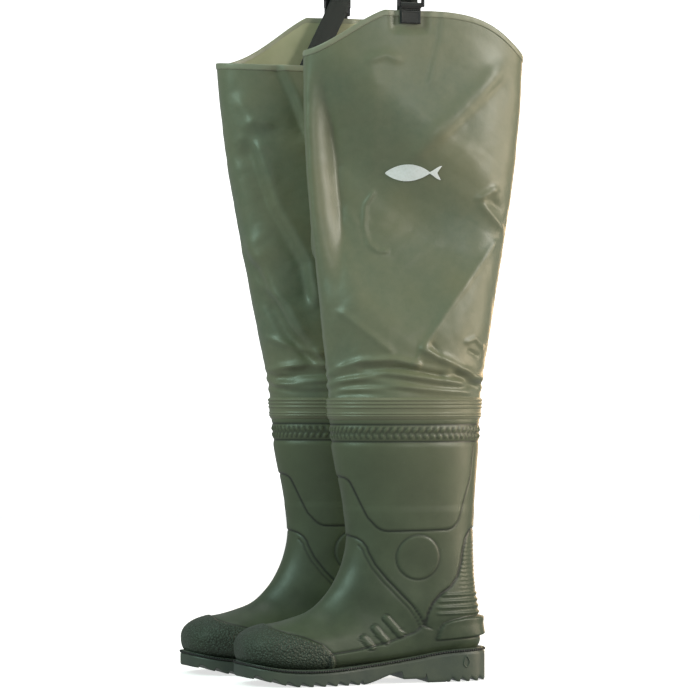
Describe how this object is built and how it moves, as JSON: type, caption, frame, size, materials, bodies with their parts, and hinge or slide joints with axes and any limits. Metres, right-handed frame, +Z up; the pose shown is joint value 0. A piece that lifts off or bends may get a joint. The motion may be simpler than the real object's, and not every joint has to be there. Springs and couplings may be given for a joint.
{
  "type": "pair of thigh waders",
  "caption": "Thigh waders: moulded boots with cleated soles and welded fabric legs, each with a webbing belt loop closed by a side-release buckle.",
  "frame": {"origin": "on the floor, under the middle of the pair's bounding box", "axes": "+Z up, toes towards -X, the left wader at -Y and the right one at +Y"},
  "size_m": [0.3738, 0.2788, 0.9153],
  "materials": {
    "pvc": "satin moulded PVC, dark green",
    "sole": "satin moulded PVC, darker green",
    "felt": "matt felted footbed",
    "leg_fabric": "smooth coated fabric, olive",
    "hem_fabric": "folded and welded coated fabric, olive",
    "webbing": "woven black webbing",
    "label": "black woven label with no wording",
    "buckle": "black moulded plastic"
  },
  "bodies": {
    "boots": {"left_boot_upper": "pvc", "left_outsole": "sole", "left_footbed": "felt", "left_weld_band": "pvc", "left_leg_lower": "leg_fabric", "left_leg_knee": "leg_fabric", "right_boot_upper": "pvc", "right_outsole": "sole", "right_footbed": "felt", "right_weld_band": "pvc", "right_leg_lower": "leg_fabric", "right_leg_knee": "leg_fabric"},
    "left_thigh": {"left_leg_upper": "leg_fabric", "left_top_hem": "hem_fabric", "left_strap_tab": "webbing", "left_care_label": "label", "left_strap_tail": "webbing"},
    "left_buckle": {"left_buckle_socket": "buckle", "left_strap_slider": "buckle"},
    "left_clip": {"left_buckle_plug": "buckle", "left_belt_loop": "webbing"},
    "right_thigh": {"right_leg_upper": "leg_fabric", "right_top_hem": "hem_fabric", "right_strap_tab": "webbing", "right_care_label": "label", "right_strap_tail": "webbing"},
    "right_buckle": {"right_buckle_socket": "buckle", "right_strap_slider": "buckle"},
    "right_clip": {"right_buckle_plug": "buckle", "right_belt_loop": "webbing"}
  },
  "joints": [
    {"name": "left_knee_bend", "type": "hinge", "parent": "boots", "child": "left_thigh", "pos_m": [-0.0169, -0.08, 0.465], "axis": [0, 1, 0], "range_deg": [0, 55], "deforming": ["left_leg_knee"]},
    {"name": "left_buckle_swing", "type": "hinge", "parent": "left_thigh", "child": "left_buckle", "pos_m": [0.0351, -0.12935, 0.78125], "axis": [1, 0, 0], "range_deg": [0, 60], "deforming": ["left_strap_tail"]},
    {"name": "left_clip_slide", "type": "slide", "parent": "left_buckle", "child": "left_clip", "axis": [0, 0, 1], "range_m": [0, 0.03]},
    {"name": "right_knee_bend", "type": "hinge", "parent": "boots", "child": "right_thigh", "pos_m": [-0.0429, 0.08, 0.465], "axis": [0, 1, 0], "range_deg": [0, 55], "deforming": ["right_leg_knee"]},
    {"name": "right_buckle_swing", "type": "hinge", "parent": "right_thigh", "child": "right_buckle", "pos_m": [0.0236, 0.12935, 0.80125], "axis": [-1, 0, 0], "range_deg": [0, 60], "deforming": ["right_strap_tail"]},
    {"name": "right_clip_slide", "type": "slide", "parent": "right_buckle", "child": "right_clip", "axis": [0, 0, 1], "range_m": [0, 0.03]}
  ]
}
